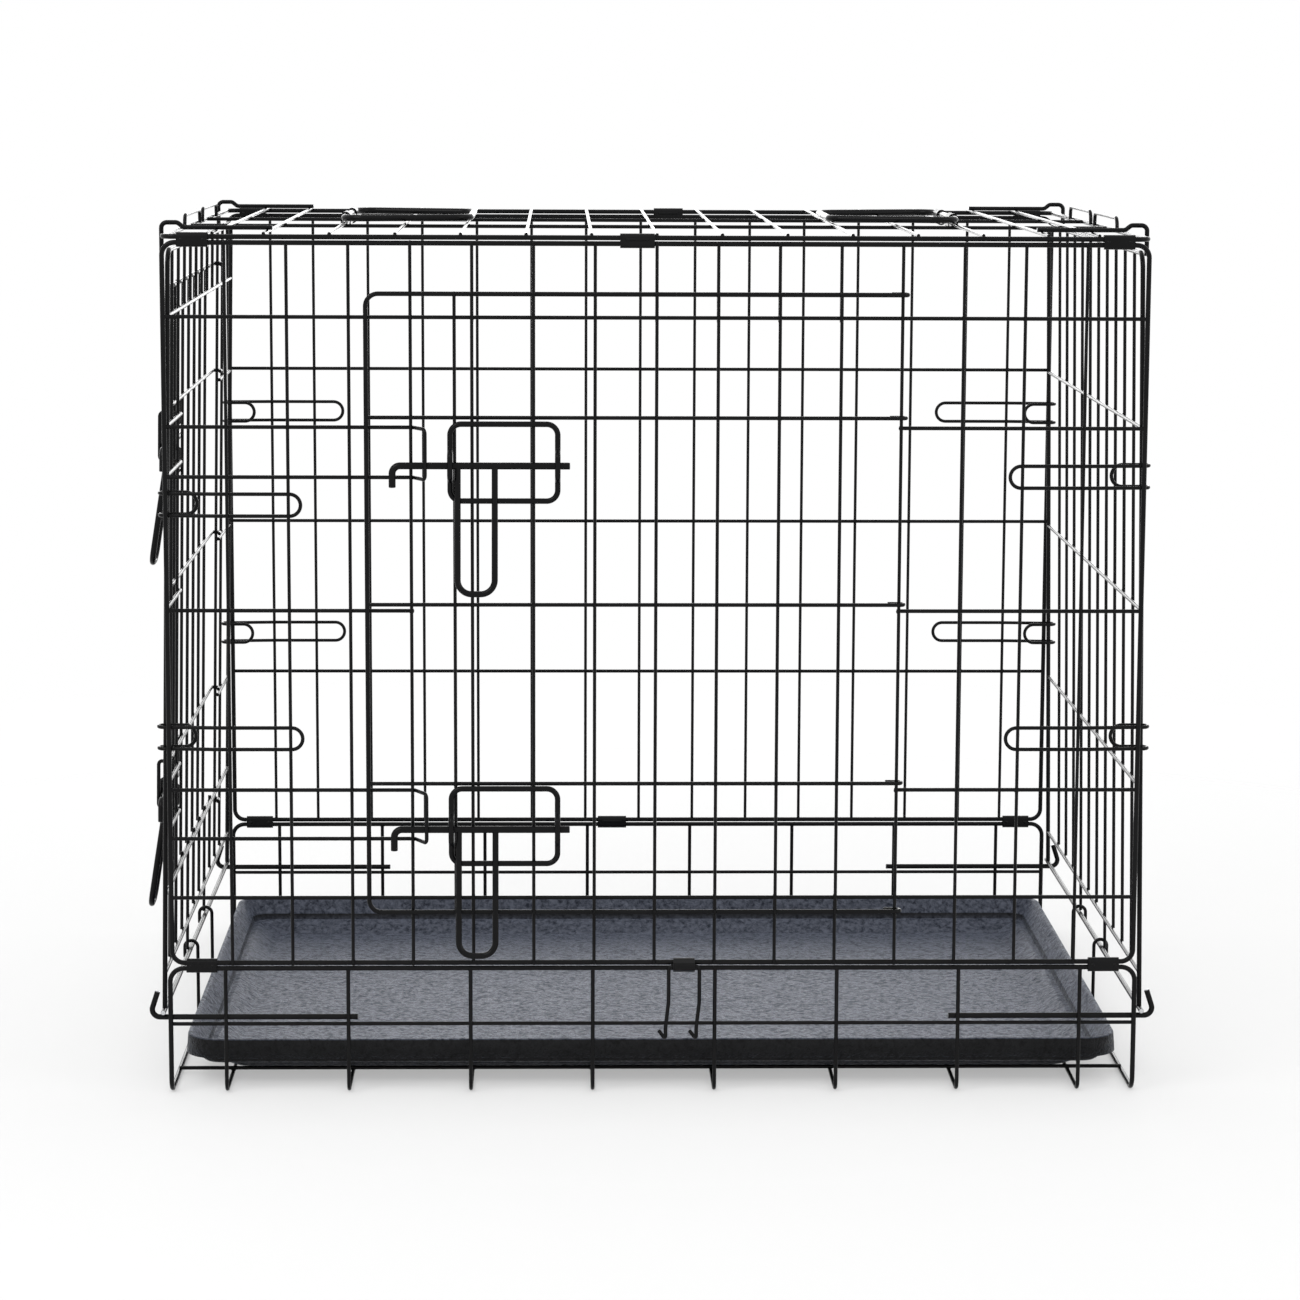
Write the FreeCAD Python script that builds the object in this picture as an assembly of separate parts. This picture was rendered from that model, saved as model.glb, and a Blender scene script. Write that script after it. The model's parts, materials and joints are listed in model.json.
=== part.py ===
"""A folding wire pet crate: base, four sides, top, two latched doors, tray, hooks and handles.

X runs along the length, Y from the front to the rear and Z up from the floor. Sizes are in mm.
"""
import FreeCAD, Part
import math
import os

os.makedirs("parts", exist_ok=True)
V = FreeCAD.Vector

# wire and rod diameters
MESH = 2.2
CROSS = 2.5
EDGE = 3.2
FLOOR = 2.6
END_EDGE = 3.2
DOOR_EDGE = 3.0
LOOP = 2.4
HOOK_ROD = 3.6
TOP_HOOK = 3.0
LINK = 2.4
BOLT = 4.5
BAIL = 4.0
GUIDE = 3.6
CARRY = 4.5
LOCK = 2.5

# how far crossing wires sink into each other, within a panel, between pieces and under plain rods
WELD = 0.35
TACK = 0.15
ROD_TACK = 0.08
OUTSET = CROSS / 2 + MESH / 2 - WELD

# the cage
HALF_LENGTH = 313.0
HALF_DEPTH = 240.0
BASE_OVER = 1.5
FLOOR_Z = EDGE / 2
BASE_MID_Z = 46.0
BASE_RAIL_Z = 83.6
PAIR = 3.7
LOW_Z = BASE_RAIL_Z + PAIR
TOP_Z = 556.8
HIGH_Z = TOP_Z - PAIR
EDGE_BEND = 8.0
BASE_BEND = 9.0
FLOOR_BEND = 6.0
STAPLE_BEND = 3.0

# spacing of the wires
FRONT_PITCH = 39.1
REAR_PITCH = 41.45
REAR_LAST = HALF_LENGTH - 31.9
END_PITCH = 41.0
BASE_PITCH = 79.6
FLOOR_CROSS = (63.0, 190.0)
TOP_CROSS = (-56.0, 63.0)
REAR_STEP = 116.7

# corner loops that hold the end posts
LOOP_HALF = 7.05
LOOP_TURN = 4.35
LOOP_REACH = 86.0
LOOP_RUN_IN = (4.0, 33.0)
LOOP_TONGUE = 19.0
LOOP_EASE = 25.0

# end panels, which turn on a rail along Y and lean in towards the top
END_X = HALF_LENGTH + 6.0
END_LEAN = 1.05
END_POST = HALF_DEPTH - EDGE / 2 - LOOP / 2 - LOOP_TURN + TACK
END_TOP = TOP_Z - 9.0
END_BEND = 10.0
RAIL_Z = 54.7
RAIL_HALF = HALF_DEPTH + 3.0
END_LOW = BASE_RAIL_Z - 5.1
END_LOW_LAP = 5.0
END_STEMS = (-1.5 * END_PITCH, 1.5 * END_PITCH)

# heights of the cross wires beside a doorway, and of the wire pairs that make the staples
DOOR_HEAD = HIGH_Z - 46.8
DOOR_SILL = LOW_Z + 43.1
SIDE_LEVELS = (DOOR_HEAD - 70.0, (DOOR_HEAD + DOOR_SILL) / 2, DOOR_SILL + 71.0)
STAPLE_RISE = 32.0

# doors
FRONT_DOOR_POST = 4 * FRONT_PITCH
END_DOOR_POST = 3.5 * END_PITCH
DOOR_TOP = DOOR_HEAD + 15.1
DOOR_LOW = DOOR_SILL - 8.5
DOOR_STEP_UP = (6.7, 4.6, 5.1)
DOOR_LAP = 28.2
DOOR_BEND = 8.0
HINGE_TURN = 3.0
HINGE_TAIL = 7.0
DOOR_OUT = OUTSET + HINGE_TURN

# latches, measured along the bolt from the door post on the latch side
BOLT_RISE = {"upper": 8.5, "lower": 8.1}
TIP_AT = -11.6
TIP_DROP = 13.5
TIP_BEND = 5.0
SPLIT_AT = 58.5
BOLT_END = 101.0
STAPLE_AT = 9.4
STAPLE_TURN = 1.5
GUIDE_AT = (25.2, 93.6)
GUIDE_RISE = (-22.5, 26.5)
GUIDE_BEND = 7.0
ARCH_FOOT = 10.0
ARCH_CROWN = 6.5
ARCH_BEND = 3.0
LEGS_AT = (30.0, 53.6)
BAIL_LENGTH = 81.5
BAIL_LEAN = 8.0
BAIL_BEND = 9.0
EXTRA_WIRE_AT = 28.0
BOLT_GAP = 0.35
GUIDE_GAP = 0.4
STAPLE_GAP = 0.6

# heights of the corner loops, set clear of the staples
LOOP_LOW = SIDE_LEVELS[2] + 33.6
LOOP_HIGH = SIDE_LEVELS[0] - 31.3
LOOP_FRONT_LEFT = SIDE_LEVELS[0] - STAPLE_RISE - 18.0

# hooks and links that carry the end panels' rails, and hooks over the top's edge
HOOK_GAP = 0.8
HOOK_LENGTH = 130.0
HOOK_RISE = 12.5
HOOK_LEAN = 18.0
HOOK_BEND = 5.0
LINK_Y = 54.0
LINK_TAIL = 7.0
TOP_HOOK_Y = HALF_DEPTH - 35.0
TOP_HOOK_START = HALF_LENGTH - 67.0
TOP_HOOK_RISE = 3.1
TOP_HOOK_DROP = 16.0
TOP_HOOK_OUT = 3.6
TOP_HOOK_FOOT = (10.5, 6.7)
TOP_HOOK_BEND = 3.6
LIFT_Y = 63.0
LIFT_HALF = 53.0
LIFT_RISE = 9.0
LIFT_BEND = 6.0

# carrying bails on the top
CARRY_X = 5 * REAR_PITCH
CARRY_GAP = 0.6
CARRY_Z = TOP_Z + OUTSET + MESH / 2 + CARRY / 2 + CARRY_GAP
CARRY_REACH = 85.0
CARRY_HALF = 80.0
CARRY_GRIP_HALF = 56.0
CARRY_BEND = 13.0
CARRY_CLIP_Y = 40.0
CARRY_CLIP = 24.0

# lock hook
LOCK_X = FRONT_PITCH / 2
LOCK_Y = -HALF_DEPTH - EDGE / 2 - LOCK / 2 - 1.2
LOCK_Z = BASE_RAIL_Z + PAIR / 2
LOCK_HALF = 10.0
LOCK_STRAIGHT = 24.0
LOCK_KNEE = 40.0
LOCK_DROP = 48.0
LOCK_SIDE = 2.0
LOCK_OUT = 3.0
LOCK_BARB = 4.0
LOCK_BENDS = (1.5, 4.0, 8.0, 3.0)
LOCK_CLIP = 14.0

# sheet clips: how long each is, and where it stands between the wires
SHEET = 0.9
CLIP_GAP = 0.3
CLIP = 22.0
CORNER_CLIP = 20.0
CORNER_CLIP_X = HALF_LENGTH - 19.3

# tray: the height and inset of each step of its wall, from the floor up to the rim
TRAY_GAP = 0.3
TRAY_HALF = (308.5, 222.0)
TRAY_WALL = 2.4
TRAY_CORNER = 24.0
TRAY_FLOOR_CORNER = 10.0
TRAY_STEPS = ((0.0, 30.0), (6.0, 22.0), (7.5, 18.5), (13.0, 3.5), (26.0, 0.0))


def corner(before, at, after, radius):
    """The start, middle and end of a bend of this radius at one corner of a line."""
    back = (before - at).normalize()
    on = (after - at).normalize()
    half = back.getAngle(on) / 2
    inward = (back + on).normalize()
    reach = radius / math.tan(half)
    middle = at + inward * (radius / math.sin(half) - radius)
    return at + back * reach, middle, at + on * reach


def bent(points, diameter, radius, closed=False):
    """One round wire along a line of points; radius is one value or one for each corner."""
    points = [V(*p) for p in points]
    count = len(points)
    corners = list(range(count)) if closed else list(range(1, count - 1))
    radii = list(radius) if isinstance(radius, (list, tuple)) else [radius] * len(corners)
    bends = []
    for i, r in zip(corners, radii):
        bends.append(corner(points[i - 1], points[i], points[(i + 1) % count], r))
    at = bends[-1][2] if closed else points[0]
    edges = []
    for start, middle, end in bends:
        if (start - at).Length > 1e-4:
            edges.append(Part.makeLine(at, start))
        edges.append(Part.Arc(start, middle, end).toShape())
        at = end
    if not closed and (points[-1] - at).Length > 1e-4:
        edges.append(Part.makeLine(at, points[-1]))
    first = edges[0]
    begin = first.valueAt(first.FirstParameter)
    along = first.tangentAt(first.FirstParameter)
    ring = Part.Wire([Part.makeCircle(diameter / 2, begin, along)])
    return Part.Wire(edges).makePipeShell([ring], True, True)


def rod(start, end, diameter):
    """A straight round wire between two points."""
    a = V(*start)
    b = V(*end)
    return Part.makeCylinder(diameter / 2, (b - a).Length, a, b - a)


def weld(wires):
    """Wires joined where they cross."""
    return wires[0].multiFuse(wires[1:]).removeSplitter()


def mirror_x(shape):
    """The same shape at the other end of the crate."""
    return shape.mirror(V(0, 0, 0), V(1, 0, 0))


def mirror_y(shape):
    """The same shape at the other side of the crate."""
    return shape.mirror(V(0, 0, 0), V(0, 1, 0))


def to_left_end(shape):
    """A shape drawn at the front, carried round to the left end and leant in about the rail there."""
    carried = shape.mirror(V(0, 0, 0), V(1, -1, 0))
    carried.rotate(V(-END_X, 0, RAIL_Z), V(0, 1, 0), END_LEAN)
    return carried


def save(name, shapes):
    """Writes one piece, or a row of like pieces, as a STEP file."""
    shapes = shapes if isinstance(shapes, list) else [shapes]
    solids = []
    for shape in shapes:
        solids.extend(shape.Solids)
    whole = solids[0] if len(solids) == 1 else Part.makeCompound(solids)
    print(name, len(solids), "solids", round(whole.Volume), "mm3", whole.isValid())
    whole.exportStep("parts/" + name + ".step")


def spaced(pitch, count):
    """Places at whole pitches either side of the middle."""
    return [pitch * k for k in range(-count, count + 1)]


def front_places():
    """Where the upright wires of the front stand."""
    return spaced(FRONT_PITCH, int(HALF_LENGTH / FRONT_PITCH - 0.5))


def rear_places():
    """Where the upright wires of the rear stand, and the wires of the top that line up with them."""
    return [-REAR_LAST] + spaced(REAR_PITCH, int(REAR_LAST / REAR_PITCH - 0.5)) + [REAR_LAST]


def end_places():
    """Where the upright wires of an end panel stand."""
    half = int(END_POST / END_PITCH)
    return [END_PITCH * (k + 0.5) for k in range(-half, half)]


def base_places():
    """Where the bent wires of the base run."""
    half = round(HALF_LENGTH / BASE_PITCH)
    return [BASE_PITCH * (k + 0.5) for k in range(-half, half)]


def door_heights():
    """Where the cross wires of a door lie, each a little above its neighbour on the panel."""
    return [z + up for z, up in zip(SIDE_LEVELS, DOOR_STEP_UP)]


def staple_pairs():
    """The two wires of each staple, upper first."""
    return [(z, z - STAPLE_RISE) for z in (SIDE_LEVELS[0], SIDE_LEVELS[2])]


def bolt_heights():
    """How high each latch bolt slides, just above the lower wire of its staple."""
    return {level: low + BOLT_RISE[level] for level, (_, low) in zip(BOLT_RISE, staple_pairs())}


def edge_frame(low, high, plane):
    """The bent edge wire round an upright panel."""
    ring = [
        (-HALF_LENGTH, plane, low),
        (HALF_LENGTH, plane, low),
        (HALF_LENGTH, plane, high),
        (-HALF_LENGTH, plane, high),
    ]
    return bent(ring, EDGE, EDGE_BEND, closed=True)


def doorway_wires(plane, post, places, door_post, low, high):
    """The mesh round a doorway, with the two staples that the door's bolts slide behind."""
    face = plane - OUTSET
    wires = []
    for u in places:
        if abs(u) < door_post - 1:
            wires.append(rod((u, face, DOOR_HEAD - CROSS), (u, face, high), MESH))
            wires.append(rod((u, face, low), (u, face, DOOR_SILL + CROSS), MESH))
        else:
            wires.append(rod((u, face, low), (u, face, high), MESH))
    for z in (DOOR_HEAD, DOOR_SILL):
        wires.append(rod((-post, plane, z), (post, plane, z), CROSS))
    for z in SIDE_LEVELS:
        wires.append(rod((door_post - CROSS / 2, plane, z), (post, plane, z), CROSS))
    middle = SIDE_LEVELS[1]
    wires.append(rod((-post, plane, middle), (CROSS / 2 - door_post, plane, middle), CROSS))
    turn = STAPLE_TURN - door_post
    bar = STAPLE_AT - door_post
    out = bolt_plane(plane) - BOLT / 2 - STAPLE_GAP - CROSS / 2
    for upper, lower in staple_pairs():
        line = [
            (-post, plane, upper),
            (turn, plane, upper),
            (bar, out, upper),
            (bar, out, lower),
            (turn, plane, lower),
            (-post, plane, lower),
        ]
        wires.append(bent(line, CROSS, STAPLE_BEND))
    return wires


def door_plane(plane):
    """The plane of a door's cross wires, outside the panel that it hangs on."""
    return plane - DOOR_OUT


def door_face(plane):
    """The outer face of a door's upright wires."""
    return door_plane(plane) - OUTSET - MESH / 2


def bolt_plane(plane):
    """The plane that a latch bolt slides in, just off the door's upright wires."""
    return door_face(plane) - BOLT_GAP - BOLT / 2


def hinge_curl(plane, door_post, z):
    """The end of a door wire: round the hinge post and a little way back."""
    around = plane - OUTSET
    side = door_post + HINGE_TURN
    return [
        (side, around - HINGE_TURN, z),
        (side, around + HINGE_TURN, z),
        (door_post - HINGE_TAIL, around + HINGE_TURN, z),
    ]


def door(plane, door_post, places):
    """A door: a C of edge wire, three cross wires that curl round the hinge post, and uprights."""
    d = door_plane(plane)
    left = -door_post - DOOR_LAP
    line = hinge_curl(plane, door_post, DOOR_TOP)[::-1]
    line += [(left, d, DOOR_TOP), (left, d, DOOR_LOW)]
    line += hinge_curl(plane, door_post, DOOR_LOW)
    radii = [HINGE_TURN, HINGE_TURN, DOOR_BEND, DOOR_BEND, HINGE_TURN, HINGE_TURN]
    wires = [bent(line, DOOR_EDGE, radii)]
    for z in door_heights():
        wires.append(bent([(left, d, z)] + hinge_curl(plane, door_post, z), CROSS, HINGE_TURN))
    inside = [u for u in places if abs(u) < door_post - 1]
    for u in inside + [EXTRA_WIRE_AT - door_post]:
        wires.append(rod((u, d - OUTSET, DOOR_LOW), (u, d - OUTSET, DOOR_TOP), MESH))
    return weld(wires)


def guide(plane, door_post, z):
    """The wire loop on a door that a latch bolt slides in, arched out where the bolt goes through."""
    flat = door_face(plane) - GUIDE / 2 + TACK
    arch = bolt_plane(plane) - BOLT / 2 - GUIDE_GAP - GUIDE / 2
    low = z + GUIDE_RISE[0]
    high = z + GUIDE_RISE[1]
    line = []
    for u, heights in ((GUIDE_AT[0] - door_post, 1), (GUIDE_AT[1] - door_post, -1)):
        side = [
            (u, flat, low),
            (u, flat, z - ARCH_FOOT),
            (u, arch, z - ARCH_CROWN),
            (u, arch, z + ARCH_CROWN),
            (u, flat, z + ARCH_FOOT),
            (u, flat, high),
        ]
        line += side[::heights]
    radii = [GUIDE_BEND] + [ARCH_BEND] * 4 + [GUIDE_BEND]
    return bent(line, GUIDE, radii * 2, closed=True)


def latch_rod(plane, door_post, z):
    """The turning part of a latch: bolt with its turned-down tip, and the hanging bail."""
    d = bolt_plane(plane)
    tip = TIP_AT - door_post
    split = SPLIT_AT - door_post
    bolt = bent([(tip, d, z - TIP_DROP), (tip, d, z), (split, d, z)], BOLT, TIP_BEND)
    lean = math.radians(BAIL_LEAN)
    out = d - BAIL_LENGTH * math.sin(lean)
    foot = z - BAIL_LENGTH * math.cos(lean)
    legs = [leg - door_post for leg in LEGS_AT]
    line = [(legs[0], d, z), (legs[0], out, foot), (legs[1], out, foot), (legs[1], d, z)]
    return weld([bolt, bent(line, BAIL, BAIL_BEND)])


def latch_shank(plane, door_post, z):
    """The sliding part of a latch: the plain round end of the bolt, in line with the rest."""
    d = bolt_plane(plane)
    return rod((SPLIT_AT - door_post, d, z), (BOLT_END - door_post, d, z), BOLT)


def wrapped(centres, radius):
    """The outline of a band pulled round equal circles, given anticlockwise as (y, z)."""
    places = [V(0, y, z) for y, z in centres]
    sides = []
    for i, at in enumerate(places):
        ahead = (places[(i + 1) % len(places)] - at).normalize()
        sides.append((ahead, V(0, ahead.z, -ahead.y)))
    edges = []
    for i, (ahead, out) in enumerate(sides):
        at = places[(i + 1) % len(places)]
        after = sides[(i + 1) % len(sides)][1]
        between = out + after
        middle = between.normalize() if between.Length > 1e-6 else ahead
        edges.append(Part.makeLine(places[i] + out * radius, at + out * radius))
        turn = Part.Arc(at + out * radius, at + middle * radius, at + after * radius)
        edges.append(turn.toShape())
    return Part.Face(Part.Wire(edges))


def sleeve(centres, radius, x, length):
    """A sheet clip round wires along X: the wires' places as (y, z), and the hollow's radius."""
    shells = []
    for r in (radius, radius + SHEET):
        body = wrapped(centres, r).extrude(V(length, 0, 0))
        body.translate(V(x - length / 2, 0, 0))
        shells.append(body)
    return shells[1].cut(shells[0])


def edge_clip(y, low, x, length):
    """A clip round the paired edge wires of two panels."""
    return sleeve([(y, low), (y, low + PAIR)], EDGE / 2 + CLIP_GAP, x, length)


def end_x(z):
    """How far out the posts of an end panel stand at one height."""
    return END_X - (z - RAIL_Z) * math.tan(math.radians(END_LEAN))


def corner_loop(z):
    """A closed wire loop at the front left corner, folded round the end post."""
    weld_y = -HALF_DEPTH - OUTSET + MESH / 2 + LOOP / 2 - TACK
    pass_y = -END_POST - LOOP_TURN
    tongue_y = -END_POST + LOOP_TURN
    post_x = -end_x(z)
    turn_x = post_x - LOOP_TURN
    half = [
        (LOOP_REACH - HALF_LENGTH, weld_y),
        (LOOP_RUN_IN[1] - HALF_LENGTH, weld_y),
        (LOOP_RUN_IN[0] - HALF_LENGTH, pass_y),
        (turn_x, pass_y),
        (turn_x, tongue_y),
        (post_x + LOOP_TONGUE, tongue_y),
    ]
    line = [(x, y, z + LOOP_HALF) for x, y in half]
    line += [(x, y, z - LOOP_HALF) for x, y in half[::-1]]
    radii = [LOOP_HALF, LOOP_EASE, LOOP_EASE, LOOP_TURN, LOOP_TURN, LOOP_HALF]
    return bent(line, LOOP, radii + radii[::-1], closed=True)


def floor_cross_z():
    """The height of the cross wires that lie on the base's floor wires."""
    return FLOOR_Z + FLOOR / 2 + CROSS / 2 - WELD


def base():
    """The floor of the crate with its turned-up front and rear, welded into one piece."""
    x = HALF_LENGTH + BASE_OVER
    y = HALF_DEPTH
    line = [
        (-x, -y, BASE_RAIL_Z),
        (x, -y, BASE_RAIL_Z),
        (x, -y, FLOOR_Z),
        (x, y, FLOOR_Z),
        (x, y, BASE_RAIL_Z),
        (-x, y, BASE_RAIL_Z),
        (-x, y, FLOOR_Z),
        (-x, -y, FLOOR_Z),
    ]
    wires = [bent(line, EDGE, BASE_BEND, closed=True)]
    for u in base_places():
        path = [(u, -y, BASE_RAIL_Z), (u, -y, FLOOR_Z), (u, y, FLOOR_Z), (u, y, BASE_RAIL_Z)]
        wires.append(bent(path, FLOOR, FLOOR_BEND))
    for place in FLOOR_CROSS:
        for v in (-place, place):
            wires.append(rod((-x, v, floor_cross_z()), (x, v, floor_cross_z()), CROSS))
    lift = FLOOR / 2 + CROSS / 2 - WELD
    for v in (lift - y, y - lift):
        wires.append(rod((-x, v, BASE_MID_Z), (x, v, BASE_MID_Z), CROSS))
    return weld(wires)


def front():
    """The front panel: an edge wire and mesh with a doorway."""
    wires = [edge_frame(LOW_Z, HIGH_Z, -HALF_DEPTH)]
    wires += doorway_wires(-HALF_DEPTH, HALF_LENGTH, front_places(), FRONT_DOOR_POST, LOW_Z, HIGH_Z)
    return weld(wires)


def rear():
    """The rear panel: an edge wire and plain mesh."""
    face = HALF_DEPTH + OUTSET
    wires = [edge_frame(LOW_Z, HIGH_Z, HALF_DEPTH)]
    for u in rear_places():
        wires.append(rod((u, face, LOW_Z), (u, face, HIGH_Z), MESH))
    for z in (LOW_Z + REAR_STEP, LOW_Z + 2 * REAR_STEP, LOW_Z + 3 * REAR_STEP):
        wires.append(rod((-HALF_LENGTH, HALF_DEPTH, z), (HALF_LENGTH, HALF_DEPTH, z), CROSS))
    return weld(wires)


def top():
    """The top panel: an edge wire and plain mesh, its long wires under the short ones."""
    line = [
        (-HALF_LENGTH, -HALF_DEPTH, TOP_Z),
        (HALF_LENGTH, -HALF_DEPTH, TOP_Z),
        (HALF_LENGTH, HALF_DEPTH, TOP_Z),
        (-HALF_LENGTH, HALF_DEPTH, TOP_Z),
    ]
    wires = [bent(line, EDGE, EDGE_BEND, closed=True)]
    face = TOP_Z + OUTSET
    for u in rear_places():
        wires.append(rod((u, -HALF_DEPTH, face), (u, HALF_DEPTH, face), MESH))
    for v in TOP_CROSS:
        wires.append(rod((-HALF_LENGTH, v, TOP_Z), (HALF_LENGTH, v, TOP_Z), CROSS))
    return weld(wires)


def end_frame(plane):
    """The edge of an end panel drawn at the front: a bow, the rail it turns on and a low cross wire."""
    bow = [
        (-END_POST, plane, RAIL_Z),
        (-END_POST, plane, END_TOP),
        (END_POST, plane, END_TOP),
        (END_POST, plane, RAIL_Z),
    ]
    wires = [
        bent(bow, END_EDGE, END_BEND),
        rod((-RAIL_HALF, plane, RAIL_Z), (RAIL_HALF, plane, RAIL_Z), END_EDGE),
        rod((-END_POST, plane, END_LOW), (END_POST, plane, END_LOW), CROSS),
    ]
    for u in END_STEMS:
        wires.append(rod((u, plane - OUTSET, RAIL_Z), (u, plane - OUTSET, END_LOW + END_LOW_LAP), MESH))
    return wires


def left_end():
    """The left end panel, with a doorway."""
    places = end_places()
    wires = end_frame(-END_X)
    wires += doorway_wires(-END_X, END_POST, places, END_DOOR_POST, END_LOW, END_TOP)
    return to_left_end(weld(wires))


def right_end():
    """The right end panel, plain mesh."""
    places = end_places()
    wires = end_frame(-END_X)
    for u in places:
        wires.append(rod((u, -END_X - OUTSET, END_LOW), (u, -END_X - OUTSET, END_TOP), MESH))
    for z in SIDE_LEVELS:
        wires.append(rod((-END_POST, -END_X, z), (END_POST, -END_X, z), CROSS))
    return mirror_x(to_left_end(weld(wires)))


def corner_hook():
    """The heavy rod at the front left foot, hooked up outside the end panel's rail, with its tip leaning back."""
    y = -HALF_DEPTH + FLOOR / 2 + HOOK_ROD / 2 - ROD_TACK
    below = RAIL_Z - END_EDGE / 2 - HOOK_ROD / 2 - HOOK_GAP
    outside = -END_X - END_EDGE / 2 - HOOK_ROD / 2 - HOOK_GAP
    tip = RAIL_Z + HOOK_RISE
    turn = outside - (tip - below) * math.tan(math.radians(HOOK_LEAN))
    line = [(outside + HOOK_LENGTH, y, below), (turn, y, below), (outside, y, tip)]
    return bent(line, HOOK_ROD, HOOK_BEND)


def end_link(y):
    """An upright wire from the base's left edge, curled over the end panel's rail."""
    inner = -HALF_LENGTH - BASE_OVER
    turn = END_X + inner
    line = [
        (inner, y, FLOOR_Z + EDGE / 2 - ROD_TACK),
        (inner, y, RAIL_Z + turn),
        (-turn - END_X, y, RAIL_Z + turn),
        (-turn - END_X, y, RAIL_Z - LINK_TAIL),
    ]
    return bent(line, LINK, turn)


def top_hook():
    """A rod on the top panel at the front left, arched over its edge and down past the end's top wire."""
    y = -TOP_HOOK_Y
    z = TOP_Z + OUTSET + MESH / 2 + TOP_HOOK / 2 - TACK
    line = [
        (-TOP_HOOK_START, y, z),
        (TOP_HOOK_FOOT[0] - HALF_LENGTH, y, z),
        (TOP_HOOK_FOOT[1] - HALF_LENGTH, y, z + TOP_HOOK_RISE),
        (-TOP_HOOK_OUT - HALF_LENGTH, y, z + TOP_HOOK_RISE),
        (-TOP_HOOK_OUT - HALF_LENGTH, y, z - TOP_HOOK_DROP),
    ]
    return bent(line, TOP_HOOK, TOP_HOOK_BEND)


def lift_loop():
    """The front one of two bows that stand on the top panel's left edge."""
    x = -HALF_LENGTH + EDGE / 2 + CROSS / 2 - TACK
    high = TOP_Z + LIFT_RISE
    near = -LIFT_Y - LIFT_HALF
    far = -LIFT_Y + LIFT_HALF
    line = [(x, near, TOP_Z), (x, near, high), (x, far, high), (x, far, TOP_Z)]
    return bent(line, CROSS, LIFT_BEND)


def carry_handle():
    """The left carrying bail, lying on the top with its narrower grip towards the centre."""
    near = -CARRY_X
    far = CARRY_REACH - CARRY_X
    line = [
        (near, -CARRY_HALF, CARRY_Z),
        (far, -CARRY_GRIP_HALF, CARRY_Z),
        (far, CARRY_GRIP_HALF, CARRY_Z),
        (near, CARRY_HALF, CARRY_Z),
    ]
    return bent(line, CARRY, CARRY_BEND, closed=True)


def carry_clip(y):
    """A clip that holds the bail's straight side to a wire of the top."""
    low = TOP_Z + OUTSET
    clip = sleeve([(0.0, low), (0.0, CARRY_Z)], CARRY / 2 + CLIP_GAP, 0.0, CARRY_CLIP)
    clip.rotate(V(0, 0, 0), V(0, 0, 1), 90.0)
    clip.translate(V(-CARRY_X, y, 0))
    return clip


def lock_prong(x):
    """One hanging prong of the lock hook, from its barbed tip up to the bar."""
    return [
        (x - LOCK_SIDE - LOCK_BARB, LOCK_Y + LOCK_OUT, LOCK_Z - LOCK_DROP + LOCK_BARB),
        (x - LOCK_SIDE, LOCK_Y - LOCK_OUT, LOCK_Z - LOCK_DROP),
        (x - LOCK_SIDE, LOCK_Y - LOCK_OUT, LOCK_Z - LOCK_KNEE),
        (x, LOCK_Y, LOCK_Z - LOCK_STRAIGHT),
        (x, LOCK_Y, LOCK_Z),
    ]


def lock_hook():
    """The loose wire hook at the middle of the front fold, hanging by its bar."""
    line = lock_prong(LOCK_X - LOCK_HALF) + lock_prong(LOCK_X + LOCK_HALF)[::-1]
    return bent(line, LOCK, LOCK_BENDS + LOCK_BENDS[::-1])


def lock_clip():
    """The front middle fold clip, which also holds the lock hook's bar."""
    centres = [(-HALF_DEPTH, BASE_RAIL_Z), (-HALF_DEPTH, LOW_Z), (LOCK_Y, LOCK_Z)]
    return sleeve(centres, EDGE / 2 + CLIP_GAP, LOCK_X, LOCK_CLIP)


def tray_outline(height, inset):
    """The tray's outline at one height, with round corners that tighten towards the floor."""
    radius = max(TRAY_CORNER - inset, TRAY_FLOOR_CORNER)
    x = TRAY_HALF[0] - inset - radius
    y = TRAY_HALF[1] - inset - radius
    low = floor_cross_z() + CROSS / 2 + TRAY_GAP
    flat = Part.makePlane(2 * x, 2 * y, V(-x, -y, low + height))
    return flat.OuterWire.makeOffset2D(radius)


def tray():
    """The loose plastic tray: a step and a slope up to a steep skirt."""
    outer = [tray_outline(height, inset) for height, inset in TRAY_STEPS]
    inner = [tray_outline(max(height, TRAY_WALL), inset + TRAY_WALL) for height, inset in TRAY_STEPS]
    return Part.makeLoft(outer, True, True).cut(Part.makeLoft(inner, True, True))


def row_of_clips(y, low, places):
    """Clips along one edge: their places along X, and how long each is."""
    return [edge_clip(y, low, x, length) for x, length in places]


save("base_panel", base())
save("front_panel", front())
save("rear_panel", rear())
save("top_panel", top())
save("left_end_panel", left_end())
save("right_end_panel", right_end())
save("tray", tray())

save("front_door", door(-HALF_DEPTH, FRONT_DOOR_POST, front_places()))
save("left_door", to_left_end(door(-END_X, END_DOOR_POST, end_places())))
for level, height in bolt_heights().items():
    for make, kind in ((guide, "guide"), (latch_rod, "latch_bail"), (latch_shank, "latch_shank")):
        save("front_" + level + "_" + kind, make(-HALF_DEPTH, FRONT_DOOR_POST, height))
        save("left_" + level + "_" + kind, to_left_end(make(-END_X, END_DOOR_POST, height)))

low_loop = corner_loop(LOOP_LOW)
high_loop = corner_loop(LOOP_HIGH)
first_loop = corner_loop(LOOP_FRONT_LEFT)
rear_loops = [mirror_y(low_loop), mirror_y(high_loop)]
save("front_corner_loops", [low_loop, first_loop, mirror_x(low_loop), mirror_x(high_loop)])
save("rear_corner_loops", rear_loops + [mirror_x(loop) for loop in rear_loops])

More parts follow.
